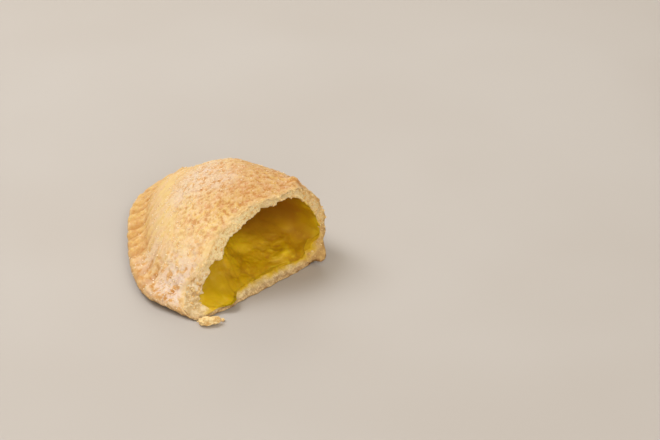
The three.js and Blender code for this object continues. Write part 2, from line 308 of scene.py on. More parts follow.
# Fine relief of the filling and of the crumbs
JAM_RELIEF = (Lumps(0.7, 6.5), Lumps(0.45, 3, shift=30), Lumps(0.12, 1.2))
FRUIT_CHUNKS = Pebbles(0.4, 5, 0.5, shift=15)
DEEP_CALM = 0.6  # how much calmer the relief is in the pocket
LOOSE_LUMPS = Lumps(0.25, 0.8, 3)
LOOSE_GRAIN = Pebbles(0.2, 0.5, 0.5)


def lerp(a, b, t):
    return a + (b - a) * t


def ramp(x, low, high):
    """0 up to low, 1 from high on, and smooth between."""
    t = np.clip((x - low) / (high - low), 0, 1)
    return t * t * (3 - 2 * t)


def bump(x, middle, half_width):
    return np.exp(-(((x - middle) / half_width) ** 2))


def bump_at(points, spot, size):
    """A round bump about a place, 1 in its middle."""
    return bump(np.linalg.norm(points - np.array(spot), axis=-1), 0, size)


def bump_over(points, spot, size):
    """The same about a place in plan."""
    return bump(np.hypot(points[..., 0] - spot[0], points[..., 1] - spot[1]), 0, size)


# Plan, in sections that fan out from the torn end, at angle 0, to the tip
def fold_point(angle):
    along = angle / SWEEP
    bow = FOLD_BULGE * np.sin(np.pi * along) + FOLD_FLARE * along**8
    return np.stack([bow, FOLD_LENGTH * along], axis=-1)


def edge_point(angle):
    swing = 0.8 * np.sin(7.3 * angle - 1.4)
    near = 2.2 * bump(angle, 0.42, 0.35) + 1.4 * bump(angle, 0.3, 0.16)
    far = 1.2 * bump(angle, 1.32, 0.25) - 0.5 * bump(angle, 1.15, 0.25)
    radius = lerp(WIDTH, LENGTH, (np.maximum(angle, 0) / SWEEP) ** 1.5) + swing + near + far
    return np.stack([-radius * np.cos(angle), radius * np.sin(angle)], axis=-1)


def span(angle):
    return np.linalg.norm(edge_point(angle) - fold_point(angle), axis=-1)


def crest_height(angle):
    along = np.clip(angle / SWEEP, 0, 1)
    return lerp(TIP_HEIGHT, HEIGHT, (1 - along**FALL) ** 2) - DIP * bump(angle, 0, 0.16)


def seam_opening(angle):
    """1 where the seam between lid and floor gapes, beside the tear, and 0 where it is shut."""
    return 1 - ramp(angle, 0.1, 0.35)


def lift_at(angle):
    quick, full = LIFT_ANGLES
    return LIFT * lerp(ramp(angle, quick, full), ramp(angle, 0, quick), QUICK_LIFT)


def place(angle, reach, height):
    """Points given by their distance from the fold along their sections, and their heights."""
    share = (reach / span(angle))[..., None]
    plan = lerp(fold_point(angle), edge_point(angle), share)
    return np.concatenate([plan, height[..., None]], axis=-1)


def angle_at(depth, share):
    """Sections spread like a fan, so a depth behind y = 0 is another angle at each share."""
    return depth / lerp(FOLD_LENGTH / SWEEP, WIDTH, share)


# Sections
def dome_outline(angle, u):
    """Reach and height of the dome, from the fold at u = -1 over the crest at 0 to its foot at 1."""
    width = span(angle)
    crest = crest_height(angle)
    fold_side = u < 0
    side = np.where(fold_side, CREST * width, (1 - CREST) * width - np.minimum(RIM, 0.4 * width))
    power = np.where(fold_side, FOLD_CURVE[0], FOOT_CURVE[0])
    root = np.where(fold_side, FOLD_CURVE[1], FOOT_CURVE[1])
    bulge = BULGE_HEIGHT * np.minimum(1, crest / HEIGHT)
    base = np.where(fold_side, bulge, np.minimum(RIM_FOOT, 0.8 * crest))
    rise = np.maximum(1 - np.abs(u) ** power, 0) ** root
    return np.stack([CREST * width + u * side, lerp(base, crest, rise)], axis=-1)


def dome_point(angle, t, inset):
    """The dome from the fold at t = -1 to its foot at t = 1, drawn in by inset along its normal."""
    along = dome_outline(angle, np.minimum(t + 0.01, 1)) - dome_outline(angle, np.maximum(t - 0.01, -1))
    along /= np.linalg.norm(along, axis=-1, keepdims=True)
    inward = np.stack([along[..., 1], -along[..., 0]], axis=-1)
    low = (crest_height(angle) / HEIGHT) ** 2
    thicker = FOLD_WALL * low * ramp(-t, 0.15, 0.9) if inset else np.zeros_like(t)
    return dome_outline(angle, t) + inward * (inset + thicker)[..., None]


def profile(angle, column, inset):
    """Distance from the fold, height and lid share at places round closed sections.

    The section runs over the dome, down the pressed band, round the nose of the edge, back under
    the base and up the underside of the fold.
    """
    angle, column = np.broadcast_arrays(np.asarray(angle, float), np.asarray(column, float))
    slim = np.clip(crest_height(angle) / HEIGHT, 0.3, 1)
    floor = FLOOR + inset - WALL if inset else 0

    t = -np.cos(np.pi * np.clip(column / DOME_END, 0, 1))
    dome = dome_point(angle, t, inset)
    start = dome_point(angle, np.full_like(angle, -1), inset)
    foot = dome_point(angle, np.full_like(angle, 1), inset)
    for points in (dome, start, foot):
        points[..., 1] = np.maximum(points[..., 1], floor + WEDGE)

    if inset:
        opening = seam_opening(angle)
        edge = lerp(foot[..., 1] - floor, SEAM_HEIGHT - 2 * (inset - WALL), opening)
        nose = edge / 2
        nose_reach = foot[..., 0] + SEAM_REACH * opening
        nose_floor = floor - SEAM_DROP * opening
    else:
        edge = EDGE_THICKNESS * slim
        nose = EDGE_NOSE * slim
        nose_reach = span(angle) - nose
        nose_floor = lift_at(angle)
    tuck = TUCK * slim

    band = (column - DOME_END) / (BAND_END - DOME_END)
    band_fall = np.clip(1 - band, 0, 1) ** 1.6
    turn = np.pi * (column - BAND_END) / (NOSE_END - BAND_END)
    base = (column - NOSE_END) / (BASE_END - NOSE_END)
    under = (np.pi / 2) * np.clip((column - BASE_END) / (FOLD_END - BASE_END), 0, 1)
    stretch = [column <= DOME_END, column < BAND_END, column <= NOSE_END, column <= BASE_END]
    reach = np.select(
        stretch,
        [
            dome[..., 0],
            lerp(foot[..., 0], nose_reach, band),
            nose_reach + nose * np.sin(turn),
            lerp(nose_reach, start[..., 0] + tuck, base),
        ],
        start[..., 0] + tuck * (1 - np.sin(under)) ** UNDER_CURVE,
    )
    height = np.select(
        stretch,
        [
            dome[..., 1],
            lerp(nose_floor + edge, foot[..., 1], band_fall),
            nose_floor + edge / 2 * (1 + np.cos(turn)),
            lerp(nose_floor, floor, ramp(base, 0, 0.2)),
        ],
        lerp(floor, start[..., 1], (1 - np.cos(under)) ** UNDER_CURVE),
    )
    lid = np.select([column < BAND_END, column <= NOSE_END], [1, (1 + np.cos(turn)) / 2], 0)
    return reach, height, lid


def crimp(angle):
    """How hard the edge is pressed, from 0 between the crimps to 1."""
    along = angle * (WIDTH + LENGTH) / 2 / CRIMP_PITCH + 0.25 * np.sin(5 * angle)
    strength = (0.72 + 0.28 * np.sin(2.4 * np.floor(along + 0.5) + 1)) * (1 - 0.6 * seam_opening(angle))
    return strength * (0.5 + 0.5 * np.cos(2 * np.pi * along)) ** 1.5


def lid_lumps(points):
    """Unevenness of the lid, with the swell behind the tear."""
    x, y = points[..., 0], points[..., 1]
    slow = 0.35 * np.sin(0.17 * x + 0.9) * np.sin(0.14 * y + 0.4) + 0.25 * np.sin(0.3 * x - 0.22 * y)
    return slow + SWELL * bump(x, -11, 13) * bump(y, 13, 12)


# The tear, by share of the span from the fold and rise to the crest
def lid_lean(share):
    return LEAN * ramp(share, 0.12, 0.8)


def floor_lean(share):
    return FLOOR_LEAN * ramp(share, 0.78, 1)


def floor_out(share):
    return FLOOR_OUT * (1 - ramp(share, 0.25, 0.9))


def floor_slant(share):
    return SLANT * ramp(share, 0.27, 0.4) * (1 - ramp(share, 0.68, 0.78))


def stub_at(share):
    return STUB * ramp(share, 0.82, 0.92)


def lid_edge(share):
    return lid_lean(share) + INSIDE_BACK - stub_at(share)


def coarse_rag(column, start, stride):
    """Raggedness of a torn edge, straight between its corners."""
    corners = np.arange(FOLD_END + 1)
    phase = stride * (corners % FOLD_END) + start
    rag = np.sin(1.9 * phase + 0.4) + 0.6 * np.sin(4.3 * phase + 1.1)
    return np.interp(column, corners, rag)


def torn_back(column, inset, start=0.0, stride=1.0):
    """How far behind y = 0 the pastry is torn at each column, with its share and rise there."""
    reach, height, lid = profile(0.0, column, inset)
    share = reach / span(0.0)
    rise = height / crest_height(0.0)
    floor = floor_lean(share) + floor_slant(share) * ramp(rise, 0, 0.1)
    lean = lerp(floor, lid_lean(share), lid)
    ragged = RAGGED * coarse_rag(column, start, stride) * ramp(rise, 0, 0.15)
    out = floor_out(share) * (1 - ramp(rise, 0, 0.14))
    flap = FLAP * (1 - lid) * bump(share, 0.1, 0.06) * (1 - ramp(rise, 0.12, 0.2))
    if inset:
        peel = -lid * (stub_at(share) + LIP * bump(share, 0.75, 0.055))
    else:
        peel = FLANK_PEEL * bump(share, 0.66, 0.11) - CREST_SKIN * bump(share, 0.36, 0.16)
        peel = lid * (peel + PEEL * bump(share, 0.9, 0.05))
        peel += FOLD_PEEL * bump(share, 0, 0.07) * ramp(rise, 0.15, 0.3)
    return lean + ragged - out - flap + peel, share, rise


def torn_place(back, share, rise):
    """Points of the torn end, given how far behind y = 0 they lie."""
    return place(angle_at(back, share), share * span(0.0), rise * crest_height(0.0))


def filling_depth(share, rise):
    """How far behind y = 0 the surface of the filling lies."""
    climb = ramp(rise, 0.1, 0.3)
    pocket = LEDGE * climb + (POCKET - LEDGE) * ramp(rise, 0.27, 0.46)
    across = lerp(0.03, 1, ramp(share, 0.08, 0.2)) * (1 - 0.9 * ramp(share, 0.46, 0.66))
    fruit = np.sin(24 * share + 3 * rise + 1) * np.sin(15 * rise + 5 * share + 0.5)
    tongue = TONGUE * ramp(share, 0.8, 0.9)
    floor = floor_lean(share) + floor_slant(share) + tongue
    lean = lerp(floor, lid_lean(share) + CHUNK * fruit, climb)
    spill = SPILL * bump(share, 0.8, 0.1) * (1 - ramp(rise, 0.1, 0.45))
    return FRONT_GAP + lean + pocket * across - spill


# Relief
def noise_at(points, size, octaves=1, fall=1.0):
    """Smooth noise at points, about -1 to 1, with lumps about size across, rough where fall is low."""
    flat = points.reshape(-1, 3) / size
    values = [noise.fractal(Vector(p), fall, 2.0, octaves) for p in flat]
    return np.array(values).reshape(points.shape[:-1])


def pebbles_at(points, size):
    """Rounded grains about size across, 0 between them and up to 1 on top."""
    flat = points.reshape(-1, 3) / size
    nearest = np.array([noise.voronoi(Vector(p))[0][0] for p in flat])
    return np.clip(1 - (1.5 * nearest) ** 2, 0, 1).reshape(points.shape[:-1])


def layers_on(points, layers):
    return sum(layer.on(points) for layer in layers)


def fibres_at(points):
    """Noise drawn out along the fibres of the fruit."""
    way = np.array(FIBRE_WAY)
    along = (points @ way)[..., None] * way
    return noise_at((points - along) / FIBRE_WIDTH + along / FIBRE_LENGTH, 1.0, 2)


def ring_normals(points):
    """Unit normals of rows of closed rings, facing out."""
    down = np.gradient(points, axis=0)
    across = np.roll(points, -1, axis=1) - np.roll(points, 1, axis=1)
    normal = np.cross(across, down)
    return normal / np.maximum(np.linalg.norm(normal, axis=-1, keepdims=True), 1e-9)


def even_columns(count, inset, base_share):
    """Columns at even distances round a section, sparser along the base."""
    column = np.linspace(0, FOLD_END, EVEN_SAMPLES)
    reach, height, _ = profile(EVEN_ANGLE, column, inset)
    length = np.hypot(np.diff(reach), np.diff(height))
    weight = np.where(column[1:] > NOSE_END, base_share, 1)
    travel = np.concatenate([[0], np.cumsum(length * weight)])
    return np.interp(np.linspace(0, travel[-1], count, endpoint=False), travel, column)


def softened(points, weight):
    """Rings with their corners rounded off where weight is 1."""
    reach = np.arange(-SOFT_STEPS, SOFT_STEPS + 1)
    taps = bump(reach, 0, SOFT_STEPS / 2)
    blurred = sum(tap * np.roll(points, step, axis=1) for step, tap in zip(reach, taps / taps.sum()))
    return lerp(points, blurred, weight[..., None])


# Meshes
def new_object(name, data):
    thing = bpy.data.objects.new(name, data)
    bpy.context.scene.collection.objects.link(thing)
    return thing


def new_piece(name, vertices, faces, offset):
    """A mesh piece in the scene, from points in millimetres."""
    mesh = bpy.data.meshes.new(name)
    mesh.from_pydata(((vertices + offset) * MM).tolist(), [], faces)
    return new_object(name, mesh)


def ring_piece(name, points, masks, offset):
    """A piece of rows of closed rings, shut at both ends, with masks at its vertices."""
    rows, columns, _ = points.shape
    ends = np.stack([points[0].mean(axis=0), points[-1].mean(axis=0)])
    vertices = np.concatenate([points.reshape(-1, 3), ends])
    index = np.arange(rows * columns).reshape(rows, columns)
    after = np.roll(index, -1, axis=1)
    quads = np.stack([index[:-1], index[1:], after[1:], after[:-1]], axis=-1).reshape(-1, 4)
    first = np.stack([np.full(columns, rows * columns), index[0], after[0]], axis=-1)
    last = np.stack([np.full(columns, rows * columns + 1), after[-1], index[-1]], axis=-1)
    piece = new_piece(name, vertices, quads.tolist() + first.tolist() + last.tolist(), offset)
    piece.data.shade_smooth()
    for key, values in masks.items():
        attribute = piece.data.attributes.new(key, "FLOAT", "POINT")
        padded = np.concatenate([values.reshape(-1), values[0, :1], values[-1, :1]])
        attribute.data.foreach_set("value", padded.astype(np.float32))
    return piece


# Crust
def crust_outside(column):
    """The case's outer surface from the tip to the tear, and what the looks need of it."""
    back, share, rise = torn_back(column, 0)
    back += layers_on(torn_place(back, share, rise), OUTER_TEETH)
    row = np.linspace(1, 0, CASE_ROWS)[:, None]
    angle = lerp(angle_at(back, share)[None], SWEEP, row)
    reach, height, lid = profile(angle, column[None], 0)
    from_edge = span(angle) - reach
    on_top = ramp(height - lift_at(angle), 0, 0.8 * EDGE_THICKNESS)
    press = on_top * crimp(angle) * (1 - ramp(from_edge, 3, CRIMP_REACH))
    smooth = place(angle, reach, height)
    flake = FLAKE * bump_over(smooth, FLAKE_AT, FLAKE_SIZE)
    uneven = (lid_lumps(smooth) + flake) * ramp(height, 10, 24)
    points = place(angle, reach - press * SCALLOP, height - press * CRIMP_DEPTH + uneven)
    points = softened(points, lid * bump(from_edge, RIM, 4))
    band = (1 - ramp(from_edge, 5, 11)) * on_top
    from_tear = np.linalg.norm(points - points[-1], axis=-1)
    return SimpleNamespace(
        points=points, lid=lid, press=press, band=band, from_tear=from_tear, share=share, torn_lid=lid[-1]
    )


def crust_inside(column):
    """The cavity from the tear inwards, how deep its points are, and which columns jam has wet."""
    back, share, rise = torn_back(column, WALL, start=9, stride=1.7)
    torn = torn_place(back, share, rise)
    teeth = layers_on(torn, INNER_TEETH)
    teeth *= ramp(rise, 0.05, 0.2) * lerp(0.4, 1, ramp(share, 0.14, 0.3))
    back = back + INSIDE_BACK + teeth
    row = np.linspace(0, 1, CAVITY_ROWS)[:, None] ** 2
    angle = lerp(angle_at(back, share)[None], CAVITY * SWEEP, row)
    reach, height, lid = profile(angle, column[None], WALL)
    points = place(angle, reach, height)
    ragged = layers_on(torn, HANGING_TEETH) * ramp(rise, 0.3, 0.5)
    droop = lid * (DROOP * bump(share, 0.44, 0.09) + ragged) * (1 - ramp(row, 0, 0.06))
    points[..., 2] += lid_lumps(points) * ramp(height, 8, 22) - droop
    wet = 1 - lid[0] * ramp(share, 0.16, 0.3)
    return SimpleNamespace(points=points, depth=row, wet=wet)


def tip_cap(ring):
    """Rings that close the tip, rounded out."""
    close = np.linspace(0, 1, TIP_ROWS, endpoint=False)[1:, None, None]
    cap = lerp(ring.mean(axis=0), ring[None], close)
    cap[..., 1] += TIP_CAP * np.sqrt(1 - close[..., 0] ** 2)
    return cap


class CrustRows:
    """Rows of the crust: the cap at the tip, the outside, the torn edge and the inside."""

    def __init__(self, *stretches):
        self.points = np.concatenate(stretches)
        self.ends = np.cumsum([0] + [len(stretch) for stretch in stretches])

    def mask(self, cap=0, outside=0, torn=0, inside=0):
        field = np.zeros(self.points.shape[:2])
        for low, high, value in zip(self.ends, self.ends[1:], (cap, outside, torn, inside)):
            field[low:high] = value
        return field

    def torn_rows(self, points):
        return points[self.ends[2]:self.ends[3]]


def crust_areas(rows, outside):
    """Where the crust is rough, crumbly, toasted, torn or flaky, from 0 to 1."""
    points = rows.points
    x, y, height = np.moveaxis(points, -1, 0)
    skin = rows.mask(cap=1, outside=1)
    band = rows.mask(cap=1, outside=outside.band)
    crumbly = skin * bump_over(points, CRUMBLY_AT, CRUMBLY_SIZE)
    toast = ramp(height, 20, 31) * (1 - ramp(y, 10, 44)) * ramp(x, -52, -26)
    rough = np.clip(0.15 + 0.85 * ramp(height, 17, 26) + 0.6 * band + 0.6 * crumbly, 0, 1)
    fold_side = rows.mask(torn=1 - ramp(outside.share, 0.14, 0.28))
    return SimpleNamespace(
        skin=skin,
        band=band,
        crumbly=crumbly,
        toast=toast,
        rough=rough + 0.5 * toast * skin,
        torn=rows.mask(torn=1),
        inside=rows.mask(inside=1),
        skin_edge=rows.mask(outside=1 - ramp(outside.from_tear, 0, SKIN_EDGE_WIDTH)),
        flaky=rows.mask(torn=outside.torn_lid * ramp(outside.share, 0.78, 0.88)),
        fold_side=fold_side * lerp(1, 0.3, ramp(height, 8, 20)),
        floor_edge=rows.mask(torn=(1 - outside.torn_lid) * ramp(outside.share, 0.1, 0.2)),
        crease=bump(np.linalg.norm((points - CREASE_AT) / CREASE_SIZE, axis=-1), 0, 1),
        crag=CRAGS.on(points),
        lump=FLOOR_GRAIN.pattern(points),
    )


def crust_relief(points, area):
    """How far the crust's surface stands out from its smooth form."""
    craggy = area.rough * (LID_GRAIN.on(points) + CRAG_HEIGHT * area.crag)
    relief = area.skin * (LID_WAVES.on(points) + craggy)
    relief += area.crumbly * CRUMBLE.on(points)
    relief += area.band * area.skin * BAND_LUMPS.on(points)
    relief += SPIKE * area.skin * bump_at(points, SPIKE_AT, SPIKE_SIZE)
    relief -= SKIN_EDGE_DROP * area.skin_edge
    relief += area.torn * (CRUMB_LUMPS.on(points) + CRUMB_GRAIN.on(points))
    relief += area.flaky * FLAKE_LUMPS.on(points)
    relief += area.fold_side * FOLD_LUMPS.on(points)
    relief += FLOOR_GRAIN.height * area.floor_edge * (area.lump - FLOOR_GRAIN.below)
    relief -= CREASE * area.crease
    relief += area.inside * CEILING_LUMPS.on(points)
    return relief


def crust_masks(rows, area, outside, inside, across, torn):
    """Masks that the crust's material reads."""
    height = rows.points[..., 2]
    under = rows.mask(outside=1 - outside.lid)
    pale = 1 - ramp(outside.from_tear + PALE_RAG.on(outside.points), 0.2, 2.6)
    # Painted shade in the hollows between the floor edge's lumps near the table, and in the crease
    gap_shade = area.floor_edge * (1 - ramp(area.lump, 0.1, 0.45)) * (1 - ramp(height, 1.6, 3))
    sugar = sum(much * bump_over(rows.points, spot, size) for spot, size, much in SUGAR_SPOTS)
    reach_over = outside.torn_lid * (0.15 + 0.25 * bump(outside.share, 0.12, 0.14))
    browned = 1 - ramp(across + BROWNED_RAG.on(torn) - reach_over, -0.15, 0.15)
    soaked = inside.wet * ramp(across + SOAKED_RAG.on(torn) - 0.3 * outside.torn_lid, 0.45, 1.05)
    return {
        "torn": rows.mask(torn=1, inside=1 - ramp(inside.depth, 0, 0.01)),
        "jam": rows.mask(torn=soaked, inside=inside.wet),
        # The lid's underside: stained, partly painted shade
        "inside": rows.mask(inside=ramp(inside.depth, 0.0, 0.012)),
        "under": under,
        "band": area.band,
        "press": rows.mask(outside=outside.press),
        "pale": rows.mask(outside=pale),
        "crag": area.crag,
        "browned": rows.mask(torn=browned),
        "flaky": area.flaky,
        "gap_shade": np.maximum(gap_shade, area.crease),
        "flaky_low": area.flaky * (1 - ramp(height, 3, 8)),
        "fold_side": area.fold_side,
        "sugar": np.clip(sugar, 0, 1) * area.skin * (1 - under),
        "toast": np.clip(0.35 * ramp(height, 19, 28) + 0.8 * area.toast, 0, 1),
        "rough": area.rough,
        "low": 1 - ramp(height, 0.8, 2.4),
    }


def make_crust():
    """The crust's surface: points, normals, masks, how thick the sugar lies, and the torn rows."""
    column = even_columns(CASE_COLUMNS, 0, CASE_BASE_SHARE)
    outside = crust_outside(column)
    inside = crust_inside(column)
    across = np.linspace(0, 1, TORN_ROWS + 2)[1:-1, None]
    torn = lerp(outside.points[-1][None], inside.points[0][None], across[..., None])
    rows = CrustRows(tip_cap(outside.points[0]), outside.points, torn, inside.points)
    normal = ring_normals(rows.points)
    area = crust_areas(rows, outside)
    masks = crust_masks(rows, area, outside, inside, across, torn)
    points = rows.points + normal * crust_relief(rows.points, area)[..., None]
    points[..., 2] = np.maximum(points[..., 2], 0)
    density = area.skin * (1 - masks["under"]) * (STRAY_SUGAR + masks["sugar"])
    return points, normal, masks, density, rows.torn_rows(points)


# Filling
def filling_ring(edge, row, depth):
    """A ring of the filling: row goes from the torn end to its back, depth from its middle to its edge."""
    share = lerp(FRONT_MIDDLE[0], edge.share, depth)
    rise = lerp(FRONT_MIDDLE[1], edge.rise, depth)
    in_wedge = ramp(edge.share, 0.6, 0.8) * ramp(depth, 0.5, 1)
    on_fold = (1 - ramp(edge.share, 0.13, 0.23)) * ramp(depth, 0.82, 1)
    at_lid = edge.lid * (in_wedge + on_fold)
    behind = lerp(filling_depth(share, rise), lid_edge(edge.share) + FRONT_GAP, at_lid)
    on_floor = (1 - edge.lid) * (1 - ramp(edge.share, 0.5, 0.7))
    flush = np.maximum(on_floor, edge.lid * on_fold) * ramp(depth, 0.9, 1)
    behind -= FRONT_GAP * flush
    angle = lerp(angle_at(behind, share), FILLING_END * CAVITY * SWEEP, row)
    out_reach, out_height, _ = profile(angle, edge.column, edge.inset)
    ahead = floor_lean(share) - floor_out(share) - filling_depth(share, rise)
    over = (1 - edge.lid) * ramp(ahead, 0.8, 2.2) if row == 0 else 0
    sag = SAG * over * bump(depth, 0.88, 0.06)
    reach = lerp(FRONT_MIDDLE[0] * span(angle), out_reach, depth)
    height = lerp(FRONT_MIDDLE[1] * crest_height(angle), out_height, depth) - sag
    points = place(angle, reach, height)
    points[..., 2] += lid_lumps(points) * ramp(height, 8, 22)
    return points


def smooth_front(points):
    """Evens out the torn surface of the filling, in place."""
    for _ in range(JAM_SMOOTHING):
        inner = points[SIDE_ROWS + 1:-1]
        above_below = points[SIDE_ROWS:-2] + points[SIDE_ROWS + 2:]
        points[SIDE_ROWS + 1:-1] = (above_below + np.roll(inner, 1, axis=1) + np.roll(inner, -1, axis=1)) / 4


def fruit_relief(points, deep, chunk, fibre):
    """How far the fruit stands out, and where its pieces are bright or dull; the bright is partly painted
    light and a painted highlight.
    """
    calm = 1 - DEEP_CALM * deep
    relief = layers_on(points, JAM_RELIEF) * calm
    relief += FRUIT_CHUNKS.height * calm * (chunk - FRUIT_CHUNKS.below)
    relief += FIBRE_RELIEF * fibre
    bright = np.zeros(points.shape[:2])
    dull = np.zeros(points.shape[:2])
    for spot, size, stands, tone in FRUIT_PIECES_AND_LIT_SPOTS:
        piece = bump_at(points, spot, size)
        relief += stands * piece
        bright = np.maximum(bright, piece * tone)
        dull = np.maximum(dull, -piece * tone)
    return relief, bright, dull


def make_filling():
    """Points of the filling's surface and masks for its looks."""
    inset = WALL - CLING
    column = even_columns(FILLING_COLUMNS, inset, FILLING_BASE_SHARE)
    reach, height, lid = profile(0.0, column, inset)
    share, rise = reach / span(0.0), height / crest_height(0.0)
    edge = SimpleNamespace(column=column, inset=inset, lid=lid, share=share, rise=rise)
    sides = [filling_ring(edge, row, 1.0) for row in np.linspace(1, 0, SIDE_ROWS, endpoint=False)]
    front = [filling_ring(edge, 0, depth) for depth in np.linspace(1, INNERMOST, FRONT_ROWS)]
    points = np.stack(sides + front)
    smooth_front(points)

    shows = np.zeros(points.shape[:2])
    shows[SIDE_ROWS:] = ramp(np.arange(FRONT_ROWS), 0, EDGE_FADE)[:, None]
    x, y, height = np.moveaxis(points, -1, 0)
    # Darker deep in the pocket and beside the fold: caramelised jam, partly painted shade
    deep = ramp(height, 7, 14) * ramp(y, 3.5, 9) * (1 - ramp(-x, 22, 32))
    deep = np.maximum(deep, SHADED * bump_at(points, SHADED_AT, SHADED_SIZE))
    chunk = FRUIT_CHUNKS.pattern(points)
    fibre = bump_at(points, FIBRES_AT, FIBRES_SIZE) * fibres_at(points)
    relief, bright, dull = fruit_relief(points, deep, chunk, fibre)
    masks = {
        # Bright fruit, partly painted light and a painted highlight
        "fruit": bright,
        "dull": dull,
        "lemon": ramp(-x, 40, 54),
        "fibre": fibre,
        # Painted shade in the creases between chunks
        "crease": (1 - ramp(chunk, 0.0, 0.35)) * (1 - 0.5 * deep),
        "deep": deep,
        # Painted light along the fold wall
        "lit_wall": ramp(x, -10, -6) * (1 - ramp(y, 5, 11)) * ramp(height, 6, 11),
    }
    return points + ring_normals(points) * (shows * relief)[..., None], masks


# Loose pieces
def random_turns(random, count):
    """Rotations in all directions alike."""
    w, i, j, k = random.normal(size=(4, count))
    size = np.sqrt(w * w + i * i + j * j + k * k)
    w, i, j, k = w / size, i / size, j / size, k / size
    turns = [
        [1 - 2 * (j * j + k * k), 2 * (i * j - k * w), 2 * (i * k + j * w)],
        [2 * (i * j + k * w), 1 - 2 * (i * i + k * k), 2 * (j * k - i * w)],
        [2 * (i * k - j * w), 2 * (j * k + i * w), 1 - 2 * (i * i + j * j)],
    ]
    return np.moveaxis(np.array(turns), -1, 0)


def make_sugar(random, points, normal, density, offset):
    """Sugar crystals pressed into the lid, thick where density is high."""
    chance = density.reshape(-1) / density.sum()
    spots = random.choice(len(chance), SUGAR_GRAINS, replace=False, p=chance)
    size = random.uniform(*SUGAR_SIZE, SUGAR_GRAINS)
    middle = points.reshape(-1, 3)[spots] + normal.reshape(-1, 3)[spots] * (SUGAR_PROUD * size)[:, None]
    ends = (-0.5, 0.5)
    corners = np.array([[x, y, z] for x in ends for y in ends for z in ends])
    sides = np.array([[0, 1, 3, 2], [4, 6, 7, 5], [0, 4, 5, 1], [2, 3, 7, 6], [0, 2, 6, 4], [1, 5, 7, 3]])
    stretch = random.uniform(*SUGAR_STRETCH, (SUGAR_GRAINS, 1, 3))
    crystals = (corners * stretch * size[:, None, None]) @ random_turns(random, SUGAR_GRAINS)
    vertices = (crystals + middle[:, None]).reshape(-1, 3)
    faces = (sides[None] + len(corners) * np.arange(SUGAR_GRAINS)[:, None, None]).reshape(-1, 4)
    return new_piece("sugar", vertices, faces.tolist(), offset)


def unit_ball(subdivisions):
    ball = bmesh.new()
    bmesh.ops.create_icosphere(ball, subdivisions=subdivisions, radius=1)
    ball.verts.ensure_lookup_table()
    points = np.array([vertex.co[:] for vertex in ball.verts])
    faces = np.array([[vertex.index for vertex in face.verts] for face in ball.faces])
    ball.free()
    return points, faces


def lumpy(points, shift):
    swell = 1 + LOOSE_LUMPS.on(points + shift) + LOOSE_GRAIN.on(points + shift)
    return points * swell[:, None]


def table_crumbs():
    """Crumbs of dough on the table beside the torn corner."""
    unit, faces = unit_ball(subdivisions=5)
    for spot, size, azimuth in CRUMBS:
        cos, sin = math.cos(math.radians(azimuth)), math.sin(math.radians(azimuth))
        turn = np.array([[cos, sin, 0], [-sin, cos, 0], [0, 0, 1]])
        crumb = lumpy(unit, spot[0]) * (np.array(size) / 2) @ turn
        yield crumb + [spot[0], spot[1], -crumb[:, 2].min() + CRUMB_ABOVE], faces


def clinging_crumbs(random, torn_points):
    """Small crumbs that cling to the tear."""
    unit, faces = unit_ball(subdivisions=2)
    spots = torn_points[:, torn_points[0, :, 2] > TORN_CRUMB_LEAST].reshape(-1, 3)
    chosen = spots[random.choice(len(spots), TORN_CRUMBS, replace=False)]
    turns = random_turns(random, TORN_CRUMBS)
    for spot, turn, size in zip(chosen, turns, random.uniform(*TORN_CRUMB_SIZE, TORN_CRUMBS)):
        stretch = random.uniform(*TORN_CRUMB_STRETCH, 3)
        yield (lumpy(unit, spot[0]) * stretch * size / 2) @ turn + spot, faces


def make_crumbs(random, torn_points, offset):
    """All crumbs as one piece."""
    shapes = [*table_crumbs(), *clinging_crumbs(random, torn_points)]
    starts = np.cumsum([0] + [len(points) for points, _ in shapes])
    vertices = np.concatenate([points for points, _ in shapes])
    faces = np.concatenate([faces + start for (_, faces), start in zip(shapes, starts)])
    piece = new_piece("crumbs", vertices, faces.tolist(), offset)
    piece.data.shade_smooth()
    return piece


def frame_offset(points):
    """From the shape's own axes, at the fold's torn corner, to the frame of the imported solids."""
    low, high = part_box("crust")
    middle = (points.reshape(-1, 3).min(axis=0) + points.reshape(-1, 3).max(axis=0)) / 2
    offset = np.array((low + high) / 2) / MM - middle
    offset[2] = low.z / MM
    return offset


# Shader nodes
def linear(red, green, blue):
    """A colour read as 0 to 255, as the shaders take it."""
    share = np.array([red, green, blue]) / 255
    value = np.where(share <= 0.04045, share / 12.92, ((share + 0.055) / 1.055) ** 2.4)
    return (*value.tolist(), 1.0)


def add(tree, kind, inputs=None, **settings):
    """A node of this kind, with sockets set or linked."""
    node = tree.nodes.new(kind)
    for name, value in settings.items():
        setattr(node, name, value)
    for key, value in (inputs or {}).items():
        if isinstance(value, bpy.types.NodeSocket):
            tree.links.new(value, node.inputs[key])
        else:
            node.inputs[key].default_value = value
    return node


def mix(tree, factor, *colours):
    """Two colours mixed, each a socket or read as 0 to 255."""
    a, b = (c if isinstance(c, bpy.types.NodeSocket) else linear(*c) for c in colours)
    return add(tree, "ShaderNodeMix", {0: factor, 6: a, 7: b}, data_type="RGBA").outputs[2]


def math_node(tree, operation, a, b):
    return add(tree, "ShaderNodeMath", {0: a, 1: b}, operation=operation).outputs[0]


def between(tree, value, start, full):
    """0 up to start, 1 from full on and smooth between, where full may be the lower one."""
    inputs = {"Value": value, "From Min": start, "From Max": full}
    return add(tree, "ShaderNodeMapRange", inputs, interpolation_type="SMOOTHSTEP").outputs[0]


def masked(tree, name, strength=1):
    """A mask of the vertices, weaker where its strength is below 1."""
    mask = add(tree, "ShaderNodeAttribute", attribute_name=name).outputs["Fac"]
    return mask if strength == 1 else math_node(tree, "MULTIPLY", mask, strength)


